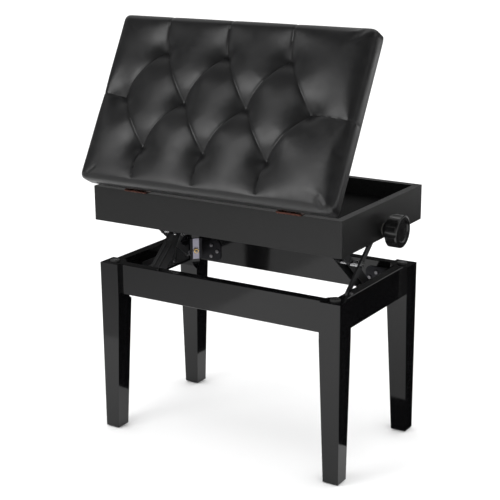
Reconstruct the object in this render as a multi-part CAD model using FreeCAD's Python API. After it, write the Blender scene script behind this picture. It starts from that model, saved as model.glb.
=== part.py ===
import FreeCAD, Part
import math
import os

# An adjustable piano bench with a storage tray under a padded, hinged seat.
# Millimetres. +X runs to the right along the seat, +Y to the rear, +Z up.
# The origin is on the floor, at the middle of the four legs.
# The seat stands near the top of its lift, and its lid is open.

# --- driving dimensions: base frame ---
base_length = 552.0
base_depth = 326.0
leg_top_z = 360.0
leg_side_top = 44.0
leg_side_foot = 32.5
taper_start_z = 285.0
leg_edge_round = 1.5
foot_pad_height = 2.5
foot_pad_radius = 11.0
rail_height = 63.0
rail_thickness = 20.0
rail_setback = 9.0
rail_edge_chamfer = 1.0
leg_chamfer_side = 12.0
leg_chamfer_runout = 18.0

# --- corner braces and their fasteners ---
brace_z0 = 301.0
brace_z1 = 347.0
brace_thickness = 2.0
brace_corner_cut = 20.0
brace_flange_reach = 70.0
brace_end_round = 12.0
brace_screw_spots = [(45.5, 310.5), (45.5, 335.0), (61.0, 323.0)]
brace_screw_head = 2.4
hanger_bolt_radius = 3.0
hanger_bolt_z = 320.0
hanger_bolt_in_leg = 30.0
hanger_bolt_proud = 9.5
hanger_washer_radius = 7.0
hanger_washer_thickness = 1.2
hanger_nut_across_flats = 10.0
hanger_nut_height = 5.0
leg_bumper_radius = 10.0
leg_bumper_height = 3.5

# --- lifting scissors, one at each end; these are the right-hand one's places ---
lower_pivot_z = 322.0
upper_pivot_z = 462.0
fixed_pivot_y = -90.0
lift_angle_deg = 40.0
pivot_radius = 4.0
running_clearance = 0.05
open_pivot_clearance = 0.10
bar_x0 = 234.0
bar_x1 = 238.0
bar_width = 13.0
plate_x0 = 190.0
plate_x1 = 215.0
plate_sheet = 2.0
plate_web_low = 8.0
plate_flange_low = -8.0
plate_end_radius = 9.0
plate_flare = 15.0
window_from = 20.0
window_to = 132.0
window_margin = 6.0
plate_rib_radius = 2.0
roller_radius = 7.0
slot_clearance = 0.3
roller_travel = (70.0, 121.5)
wall_x0 = 217.5
wall_x1 = 219.5
wall_y0 = 34.0
ear_x0 = 240.3
ear_x1 = 242.3

# --- lead screws and drive shaft ---
shaft_z = 467.5
screw_x = 226.5
screw_radius = 4.0
screw_start = 4.8
screw_end = 142.0
shaft_radius = 4.0
shaft_end_radius = 5.0
shaft_step_x = 248.0
gear_inner = 4.8
gear_outer = 9.0
gear_tip_gap = 0.25
gear_hub = 4.0
gear_teeth = 14
bearing_spots = (17.0, 135.0)
bearing_thickness = 2.5

# --- seat box ---
box_length = 560.0
box_depth = 337.0
box_z0 = 450.0
box_z1 = 519.5
panel = 15.0
panel_round = 3.0
floor_z0 = 477.5
floor_thickness = 9.0
floor_groove = 5.0
bracket_sheet = 2.0

# --- knobs ---
knob_radius = 32.0
knob_x0 = 296.0
knob_x1 = 321.0
knob_hub_radius = 15.0
knob_hub_x0 = 285.0
knob_flutes = 10
knob_flute_radius = 16.0
knob_flute_depth = 1.8

# --- hinges and lid ---
hinge_x = 173.0
hinge_length = 50.0
hinge_leaf = 1.2
hinge_leaf_width = 13.0
hinge_knuckle_radius = 2.5
hinge_pin_radius = 1.2
hinge_segments = 5
hinge_segment_gap = 0.3
hinge_axis_y = -171.0
hinge_axis_z = 521.0
lid_open_deg = 61.0
lid_underside_z = 522.5
lid_board_thickness = 12.0
lid_board_length = 544.0
lid_board_depth = 333.0
cushion_length = 558.0
cushion_depth = 341.0
cushion_skirt_z = 525.0
cushion_top_z = 573.0
cushion_edge_round = 16.0
cushion_corner_round = 12.0
dust_cover_thickness = 0.8

# --- worked-out places ---
outer_x = base_length / 2
outer_y = base_depth / 2
rail_outer_x = outer_x - rail_setback
rail_outer_y = outer_y - rail_setback
rail_inner_x = rail_outer_x - rail_thickness
rail_inner_y = rail_outer_y - rail_thickness
rail_z0 = leg_top_z - rail_height
leg_inner_x = outer_x - leg_side_top
leg_inner_y = outer_y - leg_side_top
lift_height = upper_pivot_z - lower_pivot_z
arm_length = lift_height / math.sin(math.radians(lift_angle_deg))
moving_pivot_y = fixed_pivot_y + lift_height / math.tan(math.radians(lift_angle_deg))
centre_pivot_y = (fixed_pivot_y + moving_pivot_y) / 2
centre_pivot_z = (lower_pivot_z + upper_pivot_z) / 2
half_box_x = box_length / 2
half_box_y = box_depth / 2
inner_box_x = half_box_x - panel
inner_box_y = half_box_y - panel

Vec = FreeCAD.Vector
ORIGIN = Vec(0, 0, 0)
X_AXIS = Vec(1, 0, 0)
Y_AXIS = Vec(0, 1, 0)
Z_AXIS = Vec(0, 0, 1)
CORNERS = {"front_left": (-1, -1), "front_right": (1, -1), "rear_left": (-1, 1), "rear_right": (1, 1)}


def block(x0, x1, y0, y1, z0, z1):
    return Part.makeBox(x1 - x0, y1 - y0, z1 - z0, Vec(x0, y0, z0))


def rod_x(x0, x1, y, z, radius):
    return Part.makeCylinder(radius, x1 - x0, Vec(x0, y, z), X_AXIS)


def rod_y(y0, y1, x, z, radius):
    return Part.makeCylinder(radius, y1 - y0, Vec(x, y0, z), Y_AXIS)


def rod_z(z0, z1, x, y, radius):
    return Part.makeCylinder(radius, z1 - z0, Vec(x, y, z0), Z_AXIS)


def joined(first, *others):
    return first.fuse(list(others)).removeSplitter()


def group(solids):
    return Part.makeCompound(solids)


def in_corner(shape, side_x, side_y):
    """Mirror a shape made in the +X +Y corner into another corner."""
    if side_x < 0:
        shape = shape.mirror(ORIGIN, X_AXIS)
    if side_y < 0:
        shape = shape.mirror(ORIGIN, Y_AXIS)
    return shape


def half_turn(shape):
    """The left-hand scissor is the right-hand one turned half round."""
    other = shape.copy()
    other.rotate(ORIGIN, Z_AXIS, 180)
    return other


def lid_opened(shape):
    """Lid pieces are made closed, then swung open about the hinge pins."""
    opened = shape.copy()
    opened.rotate(Vec(0, hinge_axis_y, hinge_axis_z), X_AXIS, lid_open_deg)
    return opened


def rounded_upright(shape, radius):
    """Round every upright edge of a plain block."""
    upright = [e for e in shape.Edges if abs(e.tangentAt(e.FirstParameter).z) > 0.99]
    return shape.makeFillet(radius, upright)


def wood_screw(length, shank_radius, head_radius, head_height):
    """A pan-head screw along +Z: its head is above z = 0 and its shank below."""
    shank = Part.makeCylinder(shank_radius, length, Vec(0, 0, -length))
    tip = Part.makeCone(0.2, shank_radius, 2 * shank_radius, Vec(0, 0, -length - 2 * shank_radius))
    head = Part.makeCylinder(head_radius, head_height)
    rim = [e for e in head.Edges if e.BoundBox.ZMin > head_height - 0.01]
    head = head.makeFillet(0.6 * head_height, rim)
    slot = block(-0.7 * head_radius, 0.7 * head_radius, -0.4, 0.4, 0.5 * head_height, head_height)
    cross = block(-0.4, 0.4, -0.7 * head_radius, 0.7 * head_radius, 0.5 * head_height, head_height)
    return shank.fuse([tip, head]).cut(slot.fuse(cross)).removeSplitter()


def placed(shape, position, outward):
    """Move a screw so that its head faces along outward at position."""
    copy = shape.copy()
    copy.Placement = FreeCAD.Placement(position, FreeCAD.Rotation(Z_AXIS, outward))
    return copy


# ---------------------------------------------------------------- base frame
def square_wire(side, z):
    """A square whose outer corner is the leg's outer corner."""
    x0 = outer_x - side
    y0 = outer_y - side
    corners = [Vec(x0, y0, z), Vec(outer_x, y0, z), Vec(outer_x, outer_y, z), Vec(x0, outer_y, z)]
    return Part.makePolygon(corners + corners[:1])


def leg():
    """Straight outside, tapered on its two inner faces, with its inner corner cut for the brace."""
    taper = Part.makeLoft([square_wire(leg_side_foot, foot_pad_height),
                           square_wire(leg_side_top, taper_start_z)], True, True)
    head = block(leg_inner_x, outer_x, leg_inner_y, outer_y, taper_start_z, leg_top_z)
    body = taper.fuse(head).removeSplitter()
    outer_edges = [e for e in body.Edges if e.BoundBox.XMin > outer_x - 0.1
                   and e.BoundBox.YMin > outer_y - 0.1]
    body = body.makeFillet(leg_edge_round, outer_edges)
    corner = [Vec(leg_inner_x - 1, leg_inner_y - 1, rail_z0),
              Vec(leg_inner_x + leg_chamfer_side + 1, leg_inner_y - 1, rail_z0),
              Vec(leg_inner_x - 1, leg_inner_y + leg_chamfer_side + 1, rail_z0)]
    wedge = Part.Face(Part.makePolygon(corner + corner[:1])).extrude(Vec(0, 0, rail_height + 1))
    depth = leg_chamfer_side / math.sqrt(2)
    run_radius = (leg_chamfer_runout ** 2 + depth ** 2) / (2 * depth)
    middle = leg_inner_x + leg_chamfer_side / 2 - run_radius / math.sqrt(2)
    middle_y = leg_inner_y + leg_chamfer_side / 2 - run_radius / math.sqrt(2)
    along = Vec(1, -1, 0).normalize()
    start = Vec(middle, middle_y, rail_z0) - along * 40
    run_out = Part.makeCylinder(run_radius, 80, start, along)
    return body.cut(wedge.fuse(run_out))


def foot_pad():
    centre_x = outer_x - leg_side_foot / 2
    centre_y = outer_y - leg_side_foot / 2
    pad = rod_z(0, foot_pad_height, centre_x, centre_y, foot_pad_radius)
    lower_rim = [e for e in pad.Edges if e.BoundBox.ZMax < 0.01]
    return pad.makeChamfer(0.6, lower_rim)


def long_rail(side_y):
    y_sides = sorted((side_y * rail_inner_y, side_y * rail_outer_y))
    rail = block(-leg_inner_x, leg_inner_x, y_sides[0], y_sides[1], rail_z0, leg_top_z)
    along = [e for e in rail.Edges if abs(e.tangentAt(0).x) > 0.99]
    return rail.makeChamfer(rail_edge_chamfer, along)


def short_rail(side_x):
    x_sides = sorted((side_x * rail_inner_x, side_x * rail_outer_x))
    rail = block(x_sides[0], x_sides[1], -leg_inner_y, leg_inner_y, rail_z0, leg_top_z)
    along = [e for e in rail.Edges if abs(e.tangentAt(0).y) > 0.99]
    return rail.makeChamfer(rail_edge_chamfer, along)


def corner_brace():
    """A bent strip across the corner, with a flange along each rail."""
    reach = brace_flange_reach
    cut = brace_corner_cut
    sheet = brace_thickness
    bend = cut + sheet * (math.sqrt(2) - 1)
    plan = [(reach, 0), (cut, 0), (0, cut), (0, reach),
            (sheet, reach), (sheet, bend), (bend, sheet), (reach, sheet)]
    points = [Vec(rail_inner_x - a, rail_inner_y - b, brace_z0) for a, b in plan]
    strip = Part.Face(Part.makePolygon(points + points[:1])).extrude(Vec(0, 0, brace_z1 - brace_z0))
    ends = []
    for edge in strip.Edges:
        box = edge.BoundBox
        level = box.ZLength < 0.01 and edge.Length < sheet + 0.1
        at_x_end = box.XMax < rail_inner_x - reach + 0.1
        at_y_end = box.YMax < rail_inner_y - reach + 0.1
        if level and (at_x_end or at_y_end):
            ends.append(edge)
    return strip.makeFillet(brace_end_round, ends)


def brace_screws():
    """Three screws in each flange, heads inwards."""
    screw = wood_screw(13, 1.9, 4.2, brace_screw_head)
    face = brace_thickness
    screws = []
    for reach, z in brace_screw_spots:
        screws.append(placed(screw, Vec(rail_inner_x - reach, rail_inner_y - face, z), Vec(0, -1, 0)))
        screws.append(placed(screw, Vec(rail_inner_x - face, rail_inner_y - reach, z), Vec(-1, 0, 0)))
    return screws


def brace_point(distance):
    """A point on the bolt's line, this far from the brace's inner face towards the middle."""
    face = (brace_corner_cut / math.sqrt(2) + brace_thickness + distance) / math.sqrt(2)
    return Vec(rail_inner_x - face, rail_inner_y - face, hanger_bolt_z)


def hanger_bolt():
    inward = Vec(-1, -1, 0).normalize()
    length = hanger_bolt_in_leg + hanger_bolt_proud
    bolt = Part.makeCylinder(hanger_bolt_radius, length, brace_point(-hanger_bolt_in_leg), inward)
    rim = [e for e in bolt.Edges if (e.CenterOfMass - brace_point(hanger_bolt_proud)).Length < 0.1]
    return bolt.makeChamfer(0.6, rim)


def hanger_washer():
    inward = Vec(-1, -1, 0).normalize()
    disc = Part.makeCylinder(hanger_washer_radius, hanger_washer_thickness, brace_point(0), inward)
    return disc.cut(hanger_bolt())


def hanger_nut():
    inward = Vec(-1, -1, 0).normalize()
    corner = hanger_nut_across_flats / math.sqrt(3)
    points = [Vec(corner * math.cos(math.radians(a)), corner * math.sin(math.radians(a)), 0)
              for a in range(0, 360, 60)]
    prism = Part.Face(Part.makePolygon(points + points[:1])).extrude(Vec(0, 0, hanger_nut_height))
    dome = Part.makeCone(corner + 0.6, corner - 0.9, hanger_nut_height)
    return placed(prism.common(dome), brace_point(hanger_washer_thickness), inward).cut(hanger_bolt())


def leg_bumper_screw():
    head_z = leg_top_z + leg_bumper_height - 1.9
    screw = wood_screw(16, 1.9, 4.0, 1.5)
    return placed(screw, Vec(outer_x - leg_side_top / 2, outer_y - leg_side_top / 2, head_z), Z_AXIS)


def leg_bumper():
    """A soft disc that the seat box can land on, dished for its screw."""
    x = outer_x - leg_side_top / 2
    y = outer_y - leg_side_top / 2
    top = leg_top_z + leg_bumper_height
    disc = rod_z(leg_top_z, top, x, y, leg_bumper_radius)
    disc = disc.makeFillet(1.0, [e for e in disc.Edges if e.BoundBox.ZMin > top - 0.01])
    dish = rod_z(top - 1.9, top + 1, x, y, 4.6)
    return disc.cut(dish.fuse(leg_bumper_screw()))


# ------------------------------------------------------------ lifting scissors
def along_arm(distance, offset, x, from_upper):
    """A point on a scissor arm: distance along it from its fixed pivot, offset square to it."""
    angle = math.radians(lift_angle_deg)
    if from_upper:
        return Vec(x, fixed_pivot_y + distance * math.cos(angle) + offset * math.sin(angle),
                   upper_pivot_z - distance * math.sin(angle) + offset * math.cos(angle))
    return Vec(x, fixed_pivot_y + distance * math.cos(angle) - offset * math.sin(angle),
               lower_pivot_z + distance * math.sin(angle) + offset * math.cos(angle))


def arm_outline(x, thickness, corners, from_upper):
    """A flat piece of an arm, from (distance, offset) corners, standing in the arm's own plane."""
    points = [along_arm(d, o, x, from_upper) for d, o in corners]
    return Part.Face(Part.makePolygon(points + points[:1])).extrude(Vec(thickness, 0, 0))


def pivots_cut(shape, x0, x1, holes):
    """Drill holes of (y, z, radius) through a shape along X."""
    return shape.cut(group([rod_x(x0, x1, y, z, r) for y, z, r in holes]))


def lift_bar():
    half = bar_width / 2
    thickness = bar_x1 - bar_x0
    corners = [(0, -half), (arm_length, -half), (arm_length, half), (0, half)]
    middle = arm_outline(bar_x0, thickness, corners, False)
    low_end = rod_x(bar_x0, bar_x1, fixed_pivot_y, lower_pivot_z, half)
    high_end = rod_x(bar_x0, bar_x1, moving_pivot_y, upper_pivot_z, half)
    bar = joined(middle, low_end, high_end)
    running = pivot_radius + running_clearance
    return pivots_cut(bar, bar_x0 - 1, bar_x1 + 1, [(fixed_pivot_y, lower_pivot_z, running),
                                                    (moving_pivot_y, upper_pivot_z, running),
                                                    (centre_pivot_y, centre_pivot_z, pivot_radius)])


def plate_flange(x):
    """One upright side of the broad arm, rounded about its two end pivots."""
    low = plate_flange_low
    top = plate_web_low + plate_sheet
    trim = [(0, low), (arm_length, low), (arm_length, top), (plate_end_radius, top), (0, plate_end_radius)]
    middle = arm_outline(x, plate_sheet, trim, True)
    high_end = rod_x(x, x + plate_sheet, fixed_pivot_y, upper_pivot_z, plate_end_radius)
    low_end = rod_x(x, x + plate_sheet, moving_pivot_y, lower_pivot_z, plate_end_radius)
    return joined(middle, high_end, low_end)


def plate_web():
    """The broad top face, flared inwards at its lower end, with a round-ended window."""
    plan = [(plate_end_radius, plate_x0), (plate_end_radius, plate_x1), (arm_length, plate_x1),
            (arm_length, plate_x0 - plate_flare), (0.84 * arm_length, plate_x0 - plate_flare),
            (0.4 * arm_length, plate_x0)]
    points = [along_arm(d, plate_web_low, x, True) for d, x in plan]
    square = along_arm(0, 1, 0, True) - along_arm(0, 0, 0, True)
    web = Part.Face(Part.makePolygon(points + points[:1])).extrude(square * plate_sheet)
    x0 = plate_x0 + window_margin
    x1 = plate_x1 - window_margin
    middle_x = (x0 + x1) / 2
    ends = (window_from, window_to)
    corners = [(ends[0], x0), (ends[1], x0), (ends[1], x1), (ends[0], x1)]
    low = [along_arm(d, plate_web_low - 1, x, True) for d, x in corners]
    window = Part.Face(Part.makePolygon(low + low[:1])).extrude(square * (plate_sheet + 2))
    half = (x1 - x0) / 2
    depth = plate_sheet + 2
    rounds = [Part.makeCylinder(half, depth, along_arm(d, plate_web_low - 1, middle_x, True), square)
              for d in ends]
    return web.cut(window.fuse(rounds))


def plate_rib(x):
    """A half-round rib pressed up along the web, below its window."""
    start = along_arm(window_to + 14, plate_web_low + plate_sheet - 0.6, x, True)
    end = along_arm(arm_length - 14, plate_web_low + plate_sheet - 0.6, x, True)
    rib = Part.makeCylinder(plate_rib_radius, (end - start).Length, start, end - start)
    keep = arm_outline(x - 5, 10, [(0, plate_web_low), (arm_length, plate_web_low),
                                   (arm_length, plate_web_low + 8), (0, plate_web_low + 8)], True)
    return rib.common(keep)


def lift_plate():
    inner_flange = plate_flange(plate_x0)
    outer_flange = plate_flange(plate_x1 - plate_sheet)
    ribs = [plate_rib(plate_x0 + 4), plate_rib(plate_x1 - 8)]
    plate = joined(plate_web(), inner_flange, outer_flange, *ribs)
    return pivots_cut(plate, plate_x0 - 20, plate_x1 + 1,
                      [(fixed_pivot_y, upper_pivot_z, pivot_radius + open_pivot_clearance),
                       (centre_pivot_y, centre_pivot_z, pivot_radius + running_clearance),
                       (moving_pivot_y, lower_pivot_z, pivot_radius)])


def centre_pin():
    """Rivet through both arms, with a shoulder that keeps them apart."""
    y = centre_pivot_y
    z = centre_pivot_z
    shank = rod_x(plate_x0 - 2, bar_x1 + 2, y, z, pivot_radius)
    shoulder = rod_x(plate_x1 + 0.4, bar_x0, y, z, 6.0)
    outer_head = rod_x(bar_x1, bar_x1 + 2, y, z, 6.5)
    inner_head = rod_x(plate_x0 - 2, plate_x0 - 0.4, y, z, 6.0)
    return joined(shank, shoulder, outer_head, inner_head)


def slide_roller():
    """Roller and its stud at the foot of the broad arm, held in the lower bracket's slot."""
    y = moving_pivot_y
    z = lower_pivot_z
    stud = rod_x(plate_x0 - 1.5, wall_x1 + 2.9, y, z, pivot_radius)
    roller = rod_x(plate_x1 + 1, wall_x1 + 1.3, y, z, roller_radius)
    head = rod_x(wall_x1 + 1.3, wall_x1 + 2.9, y, z, 5.0)
    inner_head = rod_x(plate_x0 - 1.5, plate_x0, y, z, 6.0)
    return joined(stud, roller, head, inner_head)


def lower_pivot_pin():
    """Shouldered rivet that the flat bar turns on, fixed in the lower bracket's ear."""
    y = fixed_pivot_y
    z = lower_pivot_z
    shank = rod_x(bar_x0 - 2.2, ear_x1, y, z, pivot_radius)
    head = rod_x(bar_x0 - 2.2, bar_x0 - 0.4, y, z, 6.0)
    collar = rod_x(bar_x1 + 0.4, ear_x0, y, z, 6.0)
    return joined(shank, head, collar)


def lower_bracket_screw_list():
    screw = wood_screw(14, 1.9, 4.2, 2.2)
    face = rail_inner_x - bracket_sheet
    return [placed(screw, Vec(face, y, 313), Vec(-1, 0, 0)) for y in (-52, -20, 20, 52)]


def lower_bracket():
    """Channel on the side rail: a fixed pivot at one end, a slot for the roller at the other."""
    low = 304.0
    rail_wall = block(rail_inner_x - bracket_sheet, rail_inner_x, -62, 62, low, 338)
    web = block(wall_x0, rail_inner_x, wall_y0, 60, low, low + bracket_sheet)
    wall = block(wall_x0, wall_x1, wall_y0, 131.4, low, 338)
    ear = block(ear_x0, ear_x1, -101, -58, low + bracket_sheet, 338)
    joggle = block(ear_x0, rail_inner_x, -60, -58, low + bracket_sheet, 338)
    slot_half = roller_radius + slot_clearance
    slot_y0 = roller_travel[0]
    slot_y1 = roller_travel[1]
    slot = joined(block(wall_x0 - 1, wall_x1 + 1, slot_y0, slot_y1,
                        lower_pivot_z - slot_half, lower_pivot_z + slot_half),
                  rod_x(wall_x0 - 1, wall_x1 + 1, slot_y0, lower_pivot_z, slot_half),
                  rod_x(wall_x0 - 1, wall_x1 + 1, slot_y1, lower_pivot_z, slot_half))
    bracket = joined(rail_wall, web, wall, ear, joggle)
    bracket = bracket.cut(slot)
    return bracket.cut(group([lower_pivot_pin()] + lower_bracket_screw_list()))


def trunnion_nut():
    """Block on the lead screw, with a trunnion in the flat bar's upper end."""
    y = moving_pivot_y
    z = upper_pivot_z
    body = block(screw_x - 6.5, bar_x0 - 0.4, y - 8, y + 8, z - 6.5, shaft_z + 7.0)
    body = body.makeChamfer(1.0, [e for e in body.Edges if abs(e.tangentAt(0).y) > 0.99])
    trunnion = rod_x(bar_x0 - 1, bar_x1 + 0.5, y, z, pivot_radius)
    bore = rod_y(y - 9, y + 9, screw_x, shaft_z, screw_radius + running_clearance)
    return joined(body, trunnion).cut(bore)


# --------------------------------------------------------------- drive pieces
def mitre_gear():
    """A 45 degree gear on the X axis with its apex at the origin, and a hub behind it."""
    small = gear_inner - gear_tip_gap
    large = gear_outer - gear_tip_gap
    cone = Part.makeCone(small, large, gear_outer - gear_inner, Vec(gear_inner, 0, 0), X_AXIS)
    hub = rod_x(gear_outer, gear_outer + gear_hub, 0, 0, large - 2)
    gear = joined(cone, hub)
    gaps = []
    for tooth in range(gear_teeth):
        gap = block(0, 14, -0.45, 0.45, 0, 1.6)
        gap.translate(Vec(0, 0, -0.9))
        gap.rotate(ORIGIN, Y_AXIS, -45)
        gap.rotate(ORIGIN, X_AXIS, tooth * 360 / gear_teeth)
        gaps.append(gap)
    limit = rod_x(gear_inner - 1, gear_outer, 0, 0, 2 * gear_outer)
    return gear.cut(group(gaps).common(limit))


def shaft_gear():
    gear = mitre_gear()
    gear.translate(Vec(screw_x, 0, shaft_z))
    return gear.cut(drive_shaft())


def screw_gear():
    gear = mitre_gear()
    gear.rotate(ORIGIN, X_AXIS, 180 / gear_teeth)
    gear.rotate(ORIGIN, Z_AXIS, 90)
    gear.translate(Vec(screw_x, 0, shaft_z))
    return gear.cut(lead_screw())


def lead_screw():
    """The screw is plain here, with a stop collar beyond its far bearing."""
    shank = rod_y(screw_start, screw_end, screw_x, shaft_z, screw_radius)
    collar = rod_y(bearing_spots[1] + bearing_thickness + 1.9, screw_end, screw_x, shaft_z, 6.0)
    return joined(shank, collar)


def drive_shaft():
    middle = rod_x(-shaft_step_x, shaft_step_x, 0, shaft_z, shaft_radius)
    right = rod_x(shaft_step_x, knob_x1 - 8, 0, shaft_z, shaft_end_radius)
    left = rod_x(-knob_x1 + 8, -shaft_step_x, 0, shaft_z, shaft_end_radius)
    return joined(middle, right, left)


def knob():
    """Fluted drum with a narrower hub towards the box."""
    z = shaft_z
    drum = rod_x(knob_x0, knob_x1, 0, z, knob_radius)
    front = [e for e in drum.Edges if e.BoundBox.XMin > knob_x1 - 0.1]
    back = [e for e in drum.Edges if e.BoundBox.XMax < knob_x0 + 0.1]
    drum = drum.makeFillet(4.5, front).makeChamfer(2.0, back)
    hub_length = knob_x0 - knob_hub_x0
    hub_start = Vec(knob_hub_x0, 0, z)
    hub = Part.makeCone(knob_hub_radius, knob_hub_radius + 2, hub_length, hub_start, X_AXIS)
    flutes = []
    for number in range(knob_flutes):
        angle = 2 * math.pi * number / knob_flutes
        reach = knob_radius + knob_flute_radius - knob_flute_depth
        flutes.append(rod_x(knob_x0 - 1, knob_x1 + 1, reach * math.cos(angle),
                            z + reach * math.sin(angle), knob_flute_radius))
    dish = Part.makeCone(19, 21, 2, Vec(knob_x1 - 2, 0, z), X_AXIS)
    return joined(drum, hub).cut(group(flutes + [dish])).cut(drive_shaft())


def shaft_bush():
    """Flanged bush in the end panel."""
    sleeve = rod_x(inner_box_x, half_box_x, 0, shaft_z, 8.0)
    flange = rod_x(half_box_x, half_box_x + 2, 0, shaft_z, 11.0)
    bore = rod_x(inner_box_x - 1, half_box_x + 3, 0, shaft_z, shaft_end_radius + running_clearance)
    return joined(sleeve, flange).cut(bore)


def screw_bearing_list():
    """Flanged bushes that hold the lead screw in the upper bracket's two tabs."""
    bearings = []
    for y in bearing_spots:
        sleeve = rod_y(y, y + bearing_thickness, screw_x, shaft_z, 6.0)
        flange = rod_y(y + bearing_thickness, y + bearing_thickness + 1.5, screw_x, shaft_z, 7.5)
        bore = rod_y(y - 1, y + 6, screw_x, shaft_z, screw_radius + running_clearance)
        bearings.append(joined(sleeve, flange).cut(bore))
    return bearings


def upper_pivot_pin():
    """Pin that the broad arm hangs from, between the two ears of the upper bracket."""
    y = fixed_pivot_y
    z = upper_pivot_z
    shank = rod_x(plate_x0 - 3.5, wall_x1, y, z, pivot_radius)
    head = rod_x(plate_x0 - 5.5, plate_x0 - 3.5, y, z, 6.0)
    return joined(shank, head)


def upper_bracket_screw_list():
    screw = wood_screw(5, 1.9, 4.2, 2.2)
    under = floor_z0 - bracket_sheet
    spots = [(247, -70), (247, -25), (247, 60), (192, 45), (192, 115)]
    return [placed(screw, Vec(x, y, under), Vec(0, 0, -1)) for x, y in spots]


def hanging_ear(x0, x1):
    """One ear of the upper pivot, rounded at the bottom."""
    y = fixed_pivot_y
    ear = block(x0, x1, y - 11, y + 11, upper_pivot_z, floor_z0 - bracket_sheet)
    return joined(ear, rod_x(x0, x1, y, upper_pivot_z, 10.0))


def upper_bracket():
    """Plate under the box floor, with the pivot's ears and the lead screw's two tabs."""
    top = block(plate_x0 - 3.5, 256, -102, 140, floor_z0 - bracket_sheet, floor_z0)
    ears = [hanging_ear(plate_x0 - 3.5, plate_x0 - 1.5), hanging_ear(wall_x0 - 1, wall_x1 - 1)]
    tabs = []
    for y in bearing_spots:
        tabs.append(block(screw_x - 8, screw_x + 6.8, y, y + bearing_thickness,
                          453, floor_z0 - bracket_sheet))
    gear_room = block(screw_x - 12, screw_x + 15, -12, 15, floor_z0 - bracket_sheet - 1, floor_z0 + 1)
    bracket = joined(top, *(ears + tabs))
    return bracket.cut(group([upper_pivot_pin()] + upper_bracket_screw_list() + screw_bearing_list()
                             + [rod_y(0, 150, screw_x, shaft_z, screw_radius + running_clearance), gear_room]))


# -------------------------------------------------------------------- seat box
def box_floor():
    reach_x = inner_box_x + floor_groove
    reach_y = inner_box_y + floor_groove
    return block(-reach_x, reach_x, -reach_y, reach_y, floor_z0, floor_z0 + floor_thickness)


def long_panel(side_y):
    y_sides = sorted((side_y * inner_box_y, side_y * half_box_y))
    board = block(-half_box_x, half_box_x, y_sides[0], y_sides[1], box_z0, box_z1)
    outer = [e for e in board.Edges if abs(e.tangentAt(0).z) > 0.99
             and abs(e.CenterOfMass.y) > half_box_y - 0.1]
    board = board.makeFillet(panel_round, outer)
    return board.cut(box_floor())


def short_panel(side_x):
    x_sides = sorted((side_x * inner_box_x, side_x * half_box_x))
    board = block(x_sides[0], x_sides[1], -inner_box_y, inner_box_y, box_z0, box_z1)
    return board.cut(box_floor())


# ---------------------------------------------------------------------- hinges
def knuckles(first, solid_radius):
    """Every second knuckle of one hinge, as cylinders along X from its left end."""
    step = hinge_length / hinge_segments
    left = hinge_x - hinge_length / 2
    pieces = []
    for number in range(first, hinge_segments, 2):
        x0 = left + number * step + hinge_segment_gap / 2
        x1 = left + (number + 1) * step - hinge_segment_gap / 2
        pieces.append(rod_x(x0, x1, hinge_axis_y, hinge_axis_z, solid_radius))
    return pieces


def hinge_leaf_shape(first, z0):
    """A leaf with its own knuckles; the other leaf's knuckles are cleared."""
    left = hinge_x - hinge_length / 2
    leaf = block(left, left + hinge_length, hinge_axis_y, hinge_axis_y + 2.5 + hinge_leaf_width,
                 z0, z0 + hinge_leaf)
    corners = [e for e in leaf.Edges if abs(e.tangentAt(0).z) > 0.99 and e.CenterOfMass.y > hinge_axis_y + 5]
    leaf = leaf.makeFillet(2.0, corners)
    whole_length = rod_x(left - 1, left + hinge_length + 1, hinge_axis_y, hinge_axis_z,
                         hinge_knuckle_radius + 0.4)
    step = hinge_length / hinge_segments
    clear = []
    for number in range(1 - first, hinge_segments, 2):
        x0 = left + number * step - hinge_segment_gap / 2
        clear.append(whole_length.common(block(x0, x0 + step + hinge_segment_gap, -200, 0, 500, 540)))
    leaf = leaf.cut(group(clear))
    leaf = joined(leaf, *knuckles(first, hinge_knuckle_radius))
    pin_hole = hinge_pin_radius + (running_clearance if first else 0)
    return leaf.cut(rod_x(left - 1, left + hinge_length + 1, hinge_axis_y, hinge_axis_z, pin_hole))


def hinge_screws(z_face, outward):
    """Three screws in a leaf, heads barely proud."""
    screw = wood_screw(8, 1.4, 2.4, 0.15)
    return [placed(screw, Vec(hinge_x + x, hinge_axis_y + 9.5, z_face), outward) for x in (-17, 0, 17)]


def both_hinges(shapes):
    """Right-hand pieces and their mirror images, for the left-hand hinge."""
    return shapes + [shape.mirror(ORIGIN, X_AXIS) for shape in shapes]


def hinge_pin():
    left = hinge_x - hinge_length / 2
    pin = rod_x(left - 0.8, left + hinge_length + 0.8, hinge_axis_y, hinge_axis_z, hinge_pin_radius)
    ends = [rod_x(left - 1.6, left - 0.2, hinge_axis_y, hinge_axis_z, 2.0),
            rod_x(left + hinge_length + 0.2, left + hinge_length + 1.6, hinge_axis_y, hinge_axis_z, 2.0)]
    return joined(pin, *ends)


# ------------------------------------------------------------------------- lid
def lid_board():
    half_x = lid_board_length / 2
    half_y = lid_board_depth / 2
    top = lid_underside_z + lid_board_thickness
    board = block(-half_x, half_x, -half_y, half_y, lid_underside_z, top)
    return rounded_upright(board, 10.0)


def seat_cushion():
    """Foam block with its cover drawn down round the board's edges."""
    half_x = cushion_length / 2
    half_y = cushion_depth / 2
    pad = block(-half_x, half_x, -half_y, half_y, cushion_skirt_z, cushion_top_z)
    pad = rounded_upright(pad, cushion_corner_round)
    rim = [e for e in pad.Edges if e.BoundBox.ZMin > cushion_top_z - 0.01]
    pad = pad.makeFillet(cushion_edge_round * 0.7, rim)
    gap = 0.3
    pocket = block(-lid_board_length / 2 - gap, lid_board_length / 2 + gap,
                   -lid_board_depth / 2 - gap, lid_board_depth / 2 + gap,
                   cushion_skirt_z - 1, lid_underside_z + lid_board_thickness + gap)
    return pad.cut(rounded_upright(pocket, 9.0))


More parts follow.
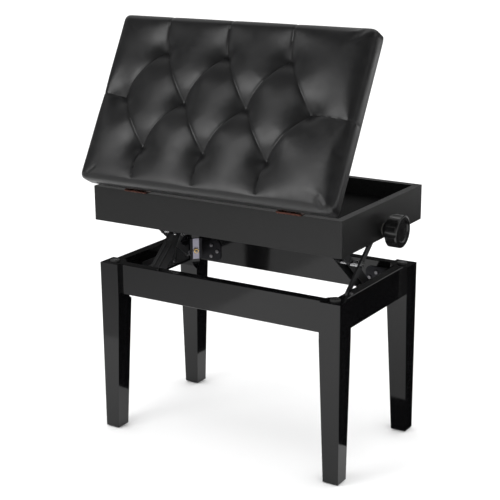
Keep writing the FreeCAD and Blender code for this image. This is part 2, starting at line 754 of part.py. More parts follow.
def dust_cover():
    """Thin cloth over the underside of the board."""
    sheet = block(-262, 262, -150, 154, lid_underside_z - dust_cover_thickness, lid_underside_z)
    return rounded_upright(sheet, 8.0)


def dust_cover_staples():
    """Staples along the four hems of the dust cover."""
    z1 = lid_underside_z - dust_cover_thickness
    z0 = z1 - 0.5
    staples = []
    for x in range(-240, 241, 60):
        for y in (-146, 150):
            staples.append(block(x - 5, x + 5, y - 0.5, y + 0.5, z0, z1))
    for y in range(-110, 121, 46):
        for x in (-258, 258):
            staples.append(block(x - 0.5, x + 0.5, y - 5, y + 5, z0, z1))
    return staples


def lid_bumpers():
    """Small pads that keep the closed lid off the box rim."""
    pads = []
    for x in (-250, 250):
        for y in (-162, 160):
            pad = rod_z(box_z1 + 0.3, lid_underside_z, x, y, 4.5)
            pads.append(pad.makeChamfer(0.5, [e for e in pad.Edges if e.BoundBox.ZMax < box_z1 + 0.4]))
    return pads


# -------------------------------------------------------------------- assembly
def base_nodes():
    nodes = {}
    wood_fasteners = []
    for side_x, side_y in CORNERS.values():
        for solid in brace_screws() + [hanger_bolt(), leg_bumper_screw()]:
            wood_fasteners.append(in_corner(solid, side_x, side_y))
    bracket_screws = lower_bracket_screw_list()
    bracket_screws = bracket_screws + [half_turn(s) for s in bracket_screws]
    cutters = group(wood_fasteners + bracket_screws)
    for name, (side_x, side_y) in CORNERS.items():
        nodes["leg_" + name] = in_corner(leg(), side_x, side_y).cut(cutters)
    nodes["rail_front"] = long_rail(-1).cut(cutters)
    nodes["rail_rear"] = long_rail(1).cut(cutters)
    nodes["rail_left"] = short_rail(-1).cut(cutters)
    nodes["rail_right"] = short_rail(1).cut(cutters)
    parts = {"corner_braces": corner_brace().cut(group(brace_screws() + [hanger_bolt()])),
             "hanger_bolts": hanger_bolt(), "hanger_washers": hanger_washer(), "hanger_nuts": hanger_nut(),
             "foot_pads": foot_pad(), "leg_bumpers": leg_bumper(), "leg_bumper_screws": leg_bumper_screw()}
    for name, shape in parts.items():
        nodes[name] = group([in_corner(shape, side_x, side_y) for side_x, side_y in CORNERS.values()])
    screws = [in_corner(s, side_x, side_y) for s in brace_screws() for side_x, side_y in CORNERS.values()]
    nodes["brace_screws"] = group(screws)
    nodes["lower_bracket_screws"] = group(bracket_screws)
    return nodes


def lift_nodes():
    """Right-hand pieces as made, left-hand ones half a turn round."""
    nodes = {}
    single = {"lower_bracket": lower_bracket(), "lift_bar": lift_bar(), "lift_plate": lift_plate(),
              "centre_pin": centre_pin(), "slide_roller": slide_roller(), "trunnion_nut": trunnion_nut(),
              "lead_screw": lead_screw(), "screw_gear": screw_gear(), "upper_bracket": upper_bracket(),
              "knob": knob()}
    for name, shape in single.items():
        nodes[name + "_right"] = shape
        nodes[name + "_left"] = half_turn(shape)
    pairs = {"lower_pivot_pins": [lower_pivot_pin()], "upper_pivot_pins": [upper_pivot_pin()],
             "upper_bracket_screws": upper_bracket_screw_list(), "screw_bearings": screw_bearing_list(),
             "shaft_gears": [shaft_gear()], "shaft_bushes": [shaft_bush()]}
    for name, shapes in pairs.items():
        nodes[name] = group(shapes + [half_turn(shape) for shape in shapes])
    nodes["drive_shaft"] = drive_shaft()
    return nodes


def box_nodes():
    fixed_screws = both_hinges(hinge_screws(box_z1 + hinge_leaf, Z_AXIS))
    bushes = group([shaft_bush(), half_turn(shaft_bush())])
    bush_room = group([rod_x(inner_box_x - 1, half_box_x + 1, 0, shaft_z, 8.0),
                       rod_x(-half_box_x - 1, -inner_box_x + 1, 0, shaft_z, 8.0)])
    floor_screws = group(upper_bracket_screw_list() + [half_turn(s) for s in upper_bracket_screw_list()])
    leaf = hinge_leaf_shape(0, box_z1).cut(group(fixed_screws))
    return {"box_panel_front": long_panel(-1).cut(group(fixed_screws)), "box_panel_rear": long_panel(1),
            "box_panel_left": short_panel(-1).cut(bush_room),
            "box_panel_right": short_panel(1).cut(bush_room),
            "box_floor": box_floor().cut(floor_screws), "hinge_fixed_leaves": group(both_hinges([leaf])),
            "hinge_fixed_screws": group(fixed_screws), "hinge_pins": group(both_hinges([hinge_pin()]))}


def lid_nodes():
    leaf_z = lid_underside_z - hinge_leaf
    moving_screws = both_hinges(hinge_screws(leaf_z, Vec(0, 0, -1)))
    leaf = hinge_leaf_shape(1, leaf_z).cut(group(moving_screws))
    closed = {"lid_board": lid_board().cut(group(moving_screws)), "seat_cushion": seat_cushion(),
              "lid_dust_cover": dust_cover(), "dust_cover_staples": group(dust_cover_staples()),
              "lid_bumpers": group(lid_bumpers()), "hinge_moving_leaves": group(both_hinges([leaf])),
              "hinge_moving_screws": group(moving_screws)}
    return {name: lid_opened(shape) for name, shape in closed.items()}


os.makedirs("parts", exist_ok=True)
for nodes in (base_nodes(), lift_nodes(), box_nodes(), lid_nodes()):
    for name, shape in nodes.items():
        print(name, len(shape.Solids), round(shape.Volume, 1), shape.isValid())
        shape.exportStep("parts/" + name + ".step")
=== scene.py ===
import bpy
import math
import numpy as np
from mathutils import Matrix, Vector


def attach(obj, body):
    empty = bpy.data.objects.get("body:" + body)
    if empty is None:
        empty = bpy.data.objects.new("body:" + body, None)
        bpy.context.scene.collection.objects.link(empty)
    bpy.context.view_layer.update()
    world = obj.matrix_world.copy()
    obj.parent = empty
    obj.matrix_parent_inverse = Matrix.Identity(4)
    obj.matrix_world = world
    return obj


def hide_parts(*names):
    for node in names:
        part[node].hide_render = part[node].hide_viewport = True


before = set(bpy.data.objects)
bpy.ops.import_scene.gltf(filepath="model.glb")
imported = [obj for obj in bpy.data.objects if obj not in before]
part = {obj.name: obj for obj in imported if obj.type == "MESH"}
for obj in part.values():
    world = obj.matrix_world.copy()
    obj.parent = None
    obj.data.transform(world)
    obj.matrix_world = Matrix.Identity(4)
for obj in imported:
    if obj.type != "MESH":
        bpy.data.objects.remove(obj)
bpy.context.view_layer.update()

# ---------------------------------------------------------------- camera
# A long lens from the right front, a little above the seat, turned by a
# fraction of a degree.
camera_place = (1.32095, -2.13262, 1.09986)
camera_azimuth = 32.915
camera_elevation = 16.58
camera_roll = -0.614
bpy.ops.object.camera_add(location=camera_place)
camera = bpy.context.object
camera.name = "bench_camera"
camera.rotation_euler = (Matrix.Rotation(math.radians(camera_azimuth), 3, "Z")
                         @ Matrix.Rotation(math.radians(90 - camera_elevation), 3, "X")
                         @ Matrix.Rotation(math.radians(camera_roll), 3, "Z")).to_euler()
camera.data.sensor_width = 36
camera.data.lens = 93.05
camera.data.shift_x = 0.0339
camera.data.shift_y = 0.0311
camera.data.dof.use_dof = False
bpy.context.scene.camera = camera

# ---------------------------------------------------------------- floor and light
# A pale seamless floor in a white room. Reflections alone see a studio: dim in
# front, dark behind up to a strip light, with a dark card on the floor behind
# the right-hand side and a grey one in front on the left.
bpy.context.scene.view_settings.view_transform = "Standard"


def studio_room():
    """White for what is seen and for soft light, and the studio's own brightness for reflections."""
    room = bpy.data.worlds.new("studio_room")
    room.use_nodes = True
    nodes = room.node_tree.nodes
    links = room.node_tree.links
    compass = nodes.new("ShaderNodeSeparateXYZ")
    links.new(nodes.new("ShaderNodeTexCoord").outputs["Generated"], compass.inputs["Vector"])

    def height_ramp(stops):
        """A brightness by height, from the horizon (0.5) to overhead (1)."""
        half = nodes.new("ShaderNodeMath")
        half.operation = "MULTIPLY_ADD"
        half.inputs[1].default_value = 0.5
        half.inputs[2].default_value = 0.5
        links.new(compass.outputs["Z"], half.inputs[0])
        ramp = nodes.new("ShaderNodeValToRGB")
        links.new(half.outputs[0], ramp.inputs["Fac"])
        while len(ramp.color_ramp.elements) < len(stops):
            ramp.color_ramp.elements.new(0.5)
        for element, (place, grey) in zip(ramp.color_ramp.elements, stops):
            element.position = place
            element.color = (grey, grey, grey, 1)
        return ramp.outputs["Color"]

    front_to_rear = 0.25
    room_white = (1.3, 1.3, 1.3, 1)
    front = height_ramp(((0.0, 0.5), (0.5, 0.35), (0.62, 0.14), (0.76, 0.06), (1.0, 0.06)))
    rear = height_ramp(((0.0, 0.03), (0.655, 0.03), (0.68, 0.95), (0.86, 0.90), (1.0, 0.30)))
    facing = nodes.new("ShaderNodeMapRange")
    facing.inputs["From Min"].default_value = -front_to_rear
    facing.inputs["From Max"].default_value = front_to_rear
    links.new(compass.outputs["Y"], facing.inputs["Value"])
    studio = nodes.new("ShaderNodeMixRGB")
    links.new(facing.outputs["Result"], studio.inputs["Fac"])
    links.new(front, studio.inputs["Color1"])
    links.new(rear, studio.inputs["Color2"])
    seen = nodes.new("ShaderNodeMixRGB")
    seen.inputs["Color1"].default_value = room_white
    links.new(nodes.new("ShaderNodeLightPath").outputs["Is Glossy Ray"], seen.inputs["Fac"])
    links.new(studio.outputs["Color"], seen.inputs["Color2"])
    links.new(seen.outputs["Color"], nodes["Background"].inputs["Color"])
    return room


bpy.context.scene.world = studio_room()


def start_finish(name):
    """A new material: its shader, and the piece's own coordinates to place a pattern by."""
    material = bpy.data.materials.new(name)
    material.use_nodes = True
    nodes = material.node_tree.nodes
    place = nodes.new("ShaderNodeTexCoord").outputs["Object"]
    return material, nodes, material.node_tree.links, nodes["Principled BSDF"], place


bpy.ops.object.select_all(action="DESELECT")
bpy.ops.mesh.primitive_plane_add(size=40, location=(0, 0, 0))
floor = bpy.context.object
floor.name = "studio_floor"
floor_paint, nodes, links, shader, place = start_finish("pale_floor")
cloud = nodes.new("ShaderNodeTexNoise")
cloud.inputs["Scale"].default_value = 3
tone = nodes.new("ShaderNodeMixRGB")
tone.inputs["Color1"].default_value = (0.93, 0.93, 0.93, 1)
tone.inputs["Color2"].default_value = (0.95, 0.95, 0.95, 1)
links.new(place, cloud.inputs["Vector"])
links.new(cloud.outputs["Fac"], tone.inputs["Fac"])
links.new(tone.outputs["Color"], shader.inputs["Base Color"])
shader.inputs["Roughness"].default_value = 0.8
shader.inputs["Specular IOR Level"].default_value = 0.0
floor.data.materials.append(floor_paint)


def soft_box(name, place, aim, size, power):
    """A square area light that faces the aim point."""
    bpy.ops.object.light_add(type="AREA", location=place)
    light = bpy.context.object
    light.name = name
    light.rotation_euler = (Vector(aim) - Vector(place)).to_track_quat("-Z", "Y").to_euler()
    light.data.size = size
    light.data.energy = power


seat_middle = (0, 0, 0.6)
soft_box("lid_box", (-0.50, -1.20, 1.16), (0.12, -0.1, 0.58), 0.7, 7)
soft_box("front_right_box", (1.5, -1.5, 0.9), seat_middle, 0.6, 2)
soft_box("top_box", (0.2, 0.6, 2.6), seat_middle, 1.6, 4)

card_height = 0.004


def reflected_card(name, middle, size):
    """A card lying on the floor that only reflections can see, and the nodes of its matt paint."""
    bpy.ops.object.select_all(action="DESELECT")
    bpy.ops.mesh.primitive_plane_add(size=1, location=(middle[0], middle[1], card_height))
    card = bpy.context.object
    card.name = name
    card.scale = (size[0], size[1], 1)
    bpy.ops.object.transform_apply(location=True, rotation=True, scale=True)
    paint, nodes, links, shader, place = start_finish(name + "_paint")
    shader.inputs["Roughness"].default_value = 1
    shader.inputs["Specular IOR Level"].default_value = 0
    card.data.materials.append(paint)
    card.visible_camera = False
    card.visible_diffuse = False
    card.visible_shadow = False
    return nodes, links, shader, place


nodes, links, shader, place = reflected_card("dark_card", (0.90, 1.25), (2.1, 2.5))
shader.inputs["Base Color"].default_value = (0.002, 0.002, 0.002, 1)

nodes, links, shader, place = reflected_card("grey_card", (-2.0, -2.2), (3.0, 3.2))
across = nodes.new("ShaderNodeSeparateXYZ")
links.new(place, across.inputs["Vector"])
fade = nodes.new("ShaderNodeMapRange")
fade.inputs["From Min"].default_value = -2.0
fade.inputs["From Max"].default_value = -0.5
fade.inputs["To Min"].default_value = 0.28
fade.inputs["To Max"].default_value = 0.62
links.new(across.outputs["X"], fade.inputs["Value"])
links.new(fade.outputs["Result"], shader.inputs["Base Color"])

# ---------------------------------------------------------------- legs and rails
# Four tapered legs and four rails of hardwood in deep black polyester lacquer,
# sprayed and polished, with the faint unevenness of a thick coat.
lacquer_black = (0.0022, 0.0022, 0.0024, 1)
lacquer_worn = (0.0036, 0.0036, 0.0039, 1)


def unevenness_group():
    """Shared effect: a soft noise, read as a value between two limits and as a bump."""
    group = bpy.data.node_groups.new("unevenness", "ShaderNodeTree")
    taken = (("Place", "Vector"), ("Scale", "Float"), ("Low", "Float"), ("High", "Float"),
             ("Height", "Float"))
    for name, kind in taken:
        group.interface.new_socket(name, in_out="INPUT", socket_type="NodeSocket" + kind)
    for name, kind in (("Mask", "Float"), ("Value", "Float"), ("Normal", "Vector")):
        group.interface.new_socket(name, in_out="OUTPUT", socket_type="NodeSocket" + kind)
    given = group.nodes.new("NodeGroupInput")
    result = group.nodes.new("NodeGroupOutput")
    noise = group.nodes.new("ShaderNodeTexNoise")
    noise.inputs["Detail"].default_value = 4
    spread = group.nodes.new("ShaderNodeMapRange")
    spread.inputs["From Min"].default_value = 0.3
    spread.inputs["From Max"].default_value = 0.7
    bump = group.nodes.new("ShaderNodeBump")
    bump.inputs["Strength"].default_value = 1
    group.links.new(given.outputs["Place"], noise.inputs["Vector"])
    group.links.new(given.outputs["Scale"], noise.inputs["Scale"])
    group.links.new(noise.outputs["Fac"], spread.inputs["Value"])
    group.links.new(given.outputs["Low"], spread.inputs["To Min"])
    group.links.new(given.outputs["High"], spread.inputs["To Max"])
    group.links.new(given.outputs["Height"], bump.inputs["Distance"])
    group.links.new(noise.outputs["Fac"], bump.inputs["Height"])
    group.links.new(noise.outputs["Fac"], result.inputs["Mask"])
    group.links.new(spread.outputs["Result"], result.inputs["Value"])
    group.links.new(bump.outputs["Normal"], result.inputs["Normal"])
    return group


unevenness = unevenness_group()


def add_unevenness(nodes, links, place, scale, low, high, height):
    """The shared effect, set for one material."""
    node = nodes.new("ShaderNodeGroup")
    node.node_tree = unevenness
    node.inputs["Scale"].default_value = scale
    node.inputs["Low"].default_value = low
    node.inputs["High"].default_value = high
    node.inputs["Height"].default_value = height
    links.new(place, node.inputs["Place"])
    return node


def two_tones(nodes, links, mask, first, second):
    """A colour between two, by a mask."""
    mix = nodes.new("ShaderNodeMixRGB")
    mix.inputs["Color1"].default_value = first
    mix.inputs["Color2"].default_value = second
    links.new(mask, mix.inputs["Fac"])
    return mix.outputs["Color"]


def plain_finish(name, first, second, scale, rough, height, metal=0.0, shine=0.5):
    """A finish of two close colours with uneven roughness and a fine bump."""
    material, nodes, links, shader, place = start_finish(name)
    uneven = add_unevenness(nodes, links, place, scale, rough[0], rough[1], height)
    links.new(two_tones(nodes, links, uneven.outputs["Mask"], first, second), shader.inputs["Base Color"])
    links.new(uneven.outputs["Value"], shader.inputs["Roughness"])
    links.new(uneven.outputs["Normal"], shader.inputs["Normal"])
    shader.inputs["Metallic"].default_value = metal
    shader.inputs["Specular IOR Level"].default_value = shine
    return material


def dress(material, *names):
    """Give a CAD piece its finish."""
    for name in names:
        part[name].data.materials.clear()
        part[name].data.materials.append(material)


lacquer = plain_finish("black_lacquer", lacquer_black, lacquer_worn, 14,
                       (0.05, 0.10), 0.00012, shine=0.36)
corners = ("front_left", "front_right", "rear_left", "rear_right")
dress(lacquer, *["leg_" + corner for corner in corners])
dress(lacquer, "rail_front", "rail_rear", "rail_left", "rail_right")

# ---------------------------------------------------------------- pads and bumpers
# Thin black rubber pads under the feet, soft rubber discs on the leg tops and
# four small pads under the lid, all moulded, matt and a little dusty.
rubber = plain_finish("black_rubber", (0.012, 0.012, 0.012, 1), (0.03, 0.03, 0.03, 1), 90,
                      (0.55, 0.8), 0.0002)
dress(rubber, "foot_pads", "leg_bumpers", "lid_bumpers")

# ---------------------------------------------------------------- braces and fasteners
# Bent steel corner braces and their screws, zinc plated with a faint lilac
# and straw tint, and brass-plated hexagon nuts on the hanger bolts.
zinc = plain_finish("zinc_plate", (0.16, 0.157, 0.18, 1), (0.24, 0.235, 0.23, 1), 60,
                    (0.22, 0.38), 0.0001, metal=1.0)


def brace_finish():
    """Zinc plate on the diagonal faces, with painted shade: near-black on the flanges that lie along the
    rails.
    """
    material, nodes, links, shader, place = start_finish("brace_plate")
    uneven = add_unevenness(nodes, links, place, 60, 0.28, 0.42, 0.0001)
    plate = two_tones(nodes, links, uneven.outputs["Mask"],
                      (0.24, 0.23, 0.28, 1), (0.34, 0.33, 0.38, 1))
    axes = nodes.new("ShaderNodeSeparateXYZ")
    links.new(place, axes.inputs["Vector"])
    reach = []
    for axis, inner_face in (("X", 0.2405), ("Y", 0.1275)):
        size = nodes.new("ShaderNodeMath")
        size.operation = "ABSOLUTE"
        links.new(axes.outputs[axis], size.inputs[0])
        past = nodes.new("ShaderNodeMath")
        past.operation = "GREATER_THAN"
        past.inputs[1].default_value = inner_face
        links.new(size.outputs[0], past.inputs[0])
        reach.append(past.outputs[0])
    flange = nodes.new("ShaderNodeMath")
    flange.operation = "MAXIMUM"
    links.new(reach[0], flange.inputs[0])
    links.new(reach[1], flange.inputs[1])
    # painted shade: the flanges past the rails' inner faces are darkened to near-black
    flange_painted_shade = nodes.new("ShaderNodeMixRGB")
    flange_painted_shade.inputs["Color2"].default_value = (0.02, 0.02, 0.022, 1)
    links.new(flange.outputs[0], flange_painted_shade.inputs["Fac"])
    links.new(plate, flange_painted_shade.inputs["Color1"])
    links.new(flange_painted_shade.outputs["Color"], shader.inputs["Base Color"])
    links.new(uneven.outputs["Value"], shader.inputs["Roughness"])
    links.new(uneven.outputs["Normal"], shader.inputs["Normal"])
    shader.inputs["Metallic"].default_value = 1.0
    return material


dress(brace_finish(), "corner_braces")
dress(zinc, "hanger_bolts", "hanger_washers", "brace_screws", "lower_bracket_screws",
      "upper_bracket_screws", "leg_bumper_screws", "dust_cover_staples")
brass_plate = plain_finish("brass_plate", (0.60, 0.38, 0.14, 1), (0.75, 0.55, 0.25, 1), 120,
                           (0.2, 0.35), 0.0001, metal=1.0)
dress(brass_plate, "hanger_nuts")

# ---------------------------------------------------------------- scissor lift
# Pressed and flat steel arms between folded brackets, all in a thin black
# powder coat with a slightly pebbled surface.
powder_coat = plain_finish("black_powder_coat", (0.010, 0.010, 0.011, 1), (0.020, 0.020, 0.021, 1), 500,
                           (0.30, 0.45), 0.0002)
for side in ("_right", "_left"):
    dress(powder_coat, "lift_bar" + side, "lift_plate" + side,
          "lower_bracket" + side, "upper_bracket" + side)

# ---------------------------------------------------------------- pins, shafts and gears
# Turned steel pins and shafts with a film of oil, cut steel mitre gears,
# bronze nuts and nylon rollers and bushes under dark grease.
turned_steel = plain_finish("turned_steel", (0.42, 0.42, 0.43, 1), (0.56, 0.56, 0.57, 1), 200,
                            (0.2, 0.35), 0.0001, metal=1.0)
dress(turned_steel, "lower_pivot_pins", "upper_pivot_pins", "drive_shaft", "shaft_gears")
for side in ("_right", "_left"):
    dress(turned_steel, "centre_pin" + side, "lead_screw" + side, "screw_gear" + side)
bronze = plain_finish("bronze", (0.38, 0.24, 0.10, 1), (0.50, 0.34, 0.16, 1), 150,
                      (0.3, 0.45), 0.0001, metal=1.0)
dress(bronze, "trunnion_nut_right", "trunnion_nut_left")
nylon = plain_finish("greased_nylon", (0.050, 0.048, 0.044, 1), (0.085, 0.082, 0.075, 1), 150,
                     (0.4, 0.5), 0.0001)
dress(nylon, "slide_roller_right", "slide_roller_left", "screw_bearings", "shaft_bushes")

# ---------------------------------------------------------------- seat box
# Four boards with a fine satin black texture film, and a thin faced board
# as the tray floor.
satin_film = plain_finish("satin_black_film", (0.0055, 0.0055, 0.0055, 1),
                          (0.0085, 0.0085, 0.0085, 1), 700, (0.26, 0.36), 0.00025, shine=0.32)
dress(satin_film, "box_panel_front", "box_panel_rear", "box_panel_left", "box_panel_right")
tray_board = plain_finish("tray_board", (0.003, 0.003, 0.003, 1), (0.006, 0.006, 0.006, 1), 400,
                          (0.6, 0.7), 0.0002, shine=0.04)
dress(tray_board, "box_floor")

# ---------------------------------------------------------------- knobs
# Moulded black plastic hand knobs with ten flutes.
knob_plastic = plain_finish("black_plastic", (0.003, 0.003, 0.003, 1), (0.006, 0.006, 0.006, 1), 80,
                            (0.16, 0.26), 0.0001)
dress(knob_plastic, "knob_right", "knob_left")

# ---------------------------------------------------------------- hinges
# Two butt hinges of thin copper-plated steel with countersunk screws.
copper_plate = plain_finish("copper_plate", (0.05, 0.020, 0.016, 1), (0.09, 0.040, 0.030, 1), 90,
                            (0.2, 0.35), 0.0001, metal=1.0)
dress(copper_plate, "hinge_fixed_leaves", "hinge_moving_leaves", "hinge_pins", "hinge_fixed_screws",
      "hinge_moving_screws")

# ---------------------------------------------------------------- lid board and dust cover
# A dark-stained plywood board, and a thin black cloth stapled under it.
ply = plain_finish("lid_plywood", (0.030, 0.022, 0.016, 1), (0.050, 0.036, 0.025, 1), 25,
                   (0.55, 0.7), 0.0004)
dress(ply, "lid_board")
dust_cloth = plain_finish("dust_cloth", (0.010, 0.010, 0.010, 1), (0.022, 0.022, 0.022, 1), 900,
                          (0.75, 0.9), 0.0004)
dress(dust_cloth, "lid_dust_cover")

# ---------------------------------------------------------------- cushion
# A foam pad on the lid board under black leatherette, which is pulled down in
# ten tufts and folded into diamonds between them, with straight pleats out to
# the edges. It is made with the lid closed, then swung open on its hinge.
hinge_line = Vector((0, -0.171, 0.521))
lid_open = math.radians(61)
pad_left = -0.2865
pad_right = 0.2785
pad_front = -0.1695
pad_rear = 0.1790
pad_low = 0.5257
pad_high = 0.5675
pad_corner = 0.012
pad_shoulder = 0.014
tuft_pitch = 0.140
middle_row = [(-0.239 + n * tuft_pitch, 0.009) for n in range(4)]
rear_row = [(-0.169 + n * tuft_pitch, 0.109) for n in range(3)]
front_row = [(-0.166 + n * tuft_pitch, -0.0875) for n in range(3)]
left_bow = -0.0045
right_bow = 0.003
tuft_depth = 0.019
tuft_reach = 0.024
fold_depth = 0.0030
fold_reach = 0.009
crease_depth = 0.0016
crease_width = 0.0016
mitre_depth = 0.0010
mitre_width = 0.0020
voxel = 0.0045
skirt_height = 0.006
most_swelling = 0.0075
last_frame = 20
grip_levels = 20


def bowed_line(start, end, bow, count=25):
    """Points from start to end, bowed sideways in the middle."""
    along = np.linspace(0, 1, count)[:, None]
    line = np.array(start) * (1 - along) + np.array(end) * along
    line[:, 0] += bow * np.sin(np.pi * along[:, 0])
    return line


def fold_lines():
    """Diamond folds between neighbouring tufts, and straight pleats out to the edges."""
    lines = []
    for outer in rear_row + front_row:
        for inner in middle_row:
            if abs(outer[0] - inner[0]) < 0.6 * tuft_pitch:
                rises_right = (outer[0] - inner[0]) * (outer[1] - inner[1]) > 0
                lines.append(bowed_line(outer, inner, left_bow if rises_right else right_bow))
    lines += [bowed_line(tuft, (tuft[0], 0.180), 0) for tuft in rear_row]
    lines += [bowed_line(tuft, (tuft[0] + 0.006, -0.152), -0.003) for tuft in front_row]
    lines.append(bowed_line(middle_row[0], (-0.290, 0.010), 0))
    lines.append(bowed_line(middle_row[-1], (0.290, -0.002), 0))
    return lines


def mitre_lines():
    """Short folds where the cover turns a corner."""
    return [bowed_line((side_x * 0.250, side_y * 0.143), (side_x * 0.276, side_y * 0.168), 0)
            for side_x in (-1, 1) for side_y in (-1, 1)]


def distance_to(lines, spots):
    """How far each spot is from the nearest of the lines, in plan."""
    nearest = np.full(len(spots), 1.0)
    for line in lines:
        for start, end in zip(line[:-1], line[1:]):
            step = end - start
            reach = np.clip(((spots - start) @ step) / (step @ step), 0, 1)
            gap = np.hypot(*(spots - start - reach[:, None] * step).T)
            nearest = np.minimum(nearest, gap)
    return nearest


def mesh_points(piece):
    """All vertex places and normals of a piece."""
    count = len(piece.data.vertices)
    places = np.empty(count * 3)
    normals = np.empty(count * 3)
    piece.data.vertices.foreach_get("co", places)
    piece.data.vertices.foreach_get("normal", normals)
    return places.reshape(-1, 3), normals.reshape(-1, 3)


def set_points(piece, places):
    """Put the vertices at these places."""
    piece.data.vertices.foreach_set("co", places.ravel())
    piece.data.update()


def apply_modifier(piece, kind, **settings):
    """Add a modifier, set it and apply it."""
    bpy.context.view_layer.objects.active = piece
    modifier = piece.modifiers.new(kind.lower(), kind)
    for name, value in settings.items():
        setattr(modifier, name, value)
    bpy.ops.object.modifier_apply(modifier=modifier.name)


def select_edges(piece, wanted):
    """Select the edges whose middle and direction pass the test, in edit mode."""
    bpy.ops.object.mode_set(mode="OBJECT")
    corners = [v.co.copy() for v in piece.data.vertices]
    for edge in piece.data.edges:
        first, second = (corners[n] for n in edge.vertices)
        edge.select = wanted((first + second) / 2, (second - first).normalized())
    bpy.ops.object.mode_set(mode="EDIT")


bpy.ops.object.select_all(action="DESELECT")
pad_middle = ((pad_left + pad_right) / 2, (pad_front + pad_rear) / 2, (pad_low + pad_high) / 2)
bpy.ops.mesh.primitive_cube_add(size=1, location=pad_middle)
cushion = bpy.context.object
cushion.name = "tufted_cushion"
cushion.scale = (pad_right - pad_left, pad_rear - pad_front, pad_high - pad_low)
bpy.ops.object.transform_apply(location=True, rotation=True, scale=True)
bpy.ops.object.mode_set(mode="EDIT")
bpy.ops.mesh.select_mode(type="EDGE")
bpy.ops.mesh.select_all(action="DESELECT")
select_edges(cushion, lambda middle, way: abs(way.z) > 0.9)
bpy.ops.mesh.bevel(offset=pad_corner, segments=6, affect="EDGES")
bpy.ops.mesh.select_all(action="DESELECT")
select_edges(cushion, lambda middle, way: middle.z > pad_high - 0.0001 and abs(way.z) < 0.1)
bpy.ops.mesh.bevel(offset=pad_shoulder, segments=5, affect="EDGES")
bpy.ops.object.mode_set(mode="OBJECT")
apply_modifier(cushion, "REMESH", mode="VOXEL", voxel_size=voxel)

folds = fold_lines()
mitres = mitre_lines()
tufts = np.array(middle_row + rear_row + front_row)


def drawn_down(places):
    """How far each point is from a fold and from a tuft, and how free of the skirt and border it is."""
    plan = places[:, :2]
    to_fold = distance_to(folds, plan)
    from_tufts = np.hypot(plan[:, None, 0] - tufts[:, 0], plan[:, None, 1] - tufts[:, 1])
    to_tuft = np.min(from_tufts, axis=1)
    free = np.clip((places[:, 2] - pad_low - skirt_height) / 0.012, 0, 1)
    to_border = np.minimum(np.minimum(plan[:, 0] - pad_left, pad_right - plan[:, 0]),
                           np.minimum(plan[:, 1] - pad_front, pad_rear - plan[:, 1]))
    inland = 0.15 + 0.85 * np.clip((to_border - 0.006) / 0.030, 0, 1)
    return to_fold, to_tuft, free, inland


places, normals = mesh_points(cushion)
to_fold, to_tuft, free, inland = drawn_down(places)
on_top = np.clip((normals[:, 2] - 0.2) / 0.5, 0, 1)
places -= normals * (free * inland * fold_depth * np.exp(-to_fold / fold_reach))[:, None]
places[:, 2] -= on_top * free * tuft_depth * np.exp(-(to_tuft / tuft_reach) ** 1.25)
set_points(cushion, places)

held = cushion.vertex_groups.new(name="held")
grip = np.maximum(inland * np.exp(-(to_fold / 0.0035) ** 2), np.exp(-(to_tuft / 0.008) ** 2))
grip = np.maximum(grip, 1 - free)
for level in range(1, grip_levels + 1):
    chosen = np.nonzero(np.round(grip * grip_levels) == level)[0]
    held.add([int(n) for n in chosen], level / grip_levels, "REPLACE")
stuffing = cushion.modifiers.new("stuffing", "CLOTH")
stuffing.settings.quality = 6
stuffing.settings.mass = 0.3
stuffing.settings.tension_stiffness = 12
stuffing.settings.compression_stiffness = 12
stuffing.settings.shear_stiffness = 8
stuffing.settings.bending_stiffness = 3
stuffing.settings.use_pressure = True
stuffing.settings.uniform_pressure_force = 4
stuffing.settings.effector_weights.gravity = 0
stuffing.settings.vertex_group_mass = "held"
stuffing.settings.pin_stiffness = 1
stuffing.collision_settings.use_self_collision = False
stuffing.point_cache.frame_start = 1
stuffing.point_cache.frame_end = last_frame
for number in range(1, last_frame + 1):
    bpy.context.scene.frame_set(number)
bpy.context.view_layer.objects.active = cushion
bpy.ops.object.modifier_apply(modifier=stuffing.name)
swollen, _ = mesh_points(cushion)
travel = swollen - places
length = np.linalg.norm(travel, axis=1)
share = np.minimum(length, most_swelling) / np.maximum(length, 1e-9)
places = places + travel * share[:, None]
set_points(cushion, places)
cushion.vertex_groups.clear()
bpy.context.scene.frame_set(1)

apply_modifier(cushion, "SUBSURF", levels=1, render_levels=1)

# the leatherette is tucked into a narrow crease along every fold and corner mitre
places, normals = mesh_points(cushion)
to_fold, to_tuft, free, inland = drawn_down(places)
to_mitre = distance_to(mitres, places[:, :2])
crease = np.exp(-(to_fold / crease_width) ** 2) * (0.4 + 0.6 * inland)
mitre = 0.6 * np.exp(-(to_mitre / mitre_width) ** 2)
places -= normals * (free * (crease_depth * crease + mitre_depth * mitre))[:, None]
set_points(cushion, places)
# painted shade: fold_shade darkens the leatherette's colour along the creases and corner mitres
fold_shade = cushion.data.attributes.new("fold_shade", "FLOAT", "POINT")
fold_shade.data.foreach_set("value", np.maximum(crease, mitre) * free)

bpy.ops.object.select_all(action="DESELECT")
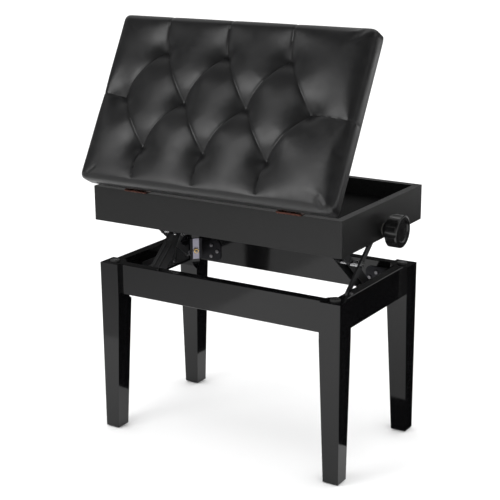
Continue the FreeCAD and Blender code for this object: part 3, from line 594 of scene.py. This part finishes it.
# room for the lid board, with 0.3 mm to spare round it
bpy.ops.mesh.primitive_cube_add(size=1, location=(0, 0, 0.5254))
board_room = bpy.context.object
board_room.scale = (0.5446, 0.3336, 0.0188)
bpy.ops.object.transform_apply(location=True, rotation=True, scale=True)
bpy.ops.object.select_all(action="DESELECT")
cushion.select_set(True)
apply_modifier(cushion, "BOOLEAN", operation="DIFFERENCE", solver="EXACT", object=board_room)
bpy.data.objects.remove(board_room)

swing = (Matrix.Translation(hinge_line) @ Matrix.Rotation(lid_open, 4, "X")
         @ Matrix.Translation(-hinge_line))
cushion.data.transform(swing)
bpy.ops.object.select_all(action="DESELECT")
cushion.select_set(True)
bpy.context.view_layer.objects.active = cushion
bpy.ops.object.shade_smooth_by_angle(angle=math.radians(50))


def leatherette_finish():
    """Black PVC leatherette: a pebbled grain with a soft shine, and painted shade that darkens the
    creases.
    """
    material, nodes, links, shader, place = start_finish("black_leatherette")
    pebble = nodes.new("ShaderNodeTexVoronoi")
    pebble.feature = "DISTANCE_TO_EDGE"
    pebble.inputs["Scale"].default_value = 520
    links.new(place, pebble.inputs["Vector"])
    grain = nodes.new("ShaderNodeBump")
    grain.inputs["Strength"].default_value = 0.4
    grain.inputs["Distance"].default_value = 0.0002
    links.new(pebble.outputs["Distance"], grain.inputs["Height"])
    uneven = add_unevenness(nodes, links, place, 38, 0.34, 0.42, 0.0003)
    links.new(uneven.outputs["Normal"], grain.inputs["Normal"])
    links.new(grain.outputs["Normal"], shader.inputs["Normal"])
    links.new(uneven.outputs["Value"], shader.inputs["Roughness"])
    skin = two_tones(nodes, links, uneven.outputs["Mask"],
                     (0.003, 0.003, 0.0033, 1), (0.006, 0.006, 0.0063, 1))
    # painted shade: the colour is multiplied down to a quarter along the creases
    shade = nodes.new("ShaderNodeAttribute")
    shade.attribute_name = "fold_shade"
    painted_crease_shade = two_tones(nodes, links, shade.outputs["Fac"], (1, 1, 1, 1), (0.25, 0.25, 0.25, 1))
    blend = nodes.new("ShaderNodeMixRGB")
    links.new(painted_crease_shade, blend.inputs["Color2"])
    blend.blend_type = "MULTIPLY"
    blend.inputs["Fac"].default_value = 1
    links.new(skin, blend.inputs["Color1"])
    links.new(blend.outputs["Color"], shader.inputs["Base Color"])
    return material


cushion.data.materials.append(leatherette_finish())
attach(cushion, "lid")
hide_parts("seat_cushion")
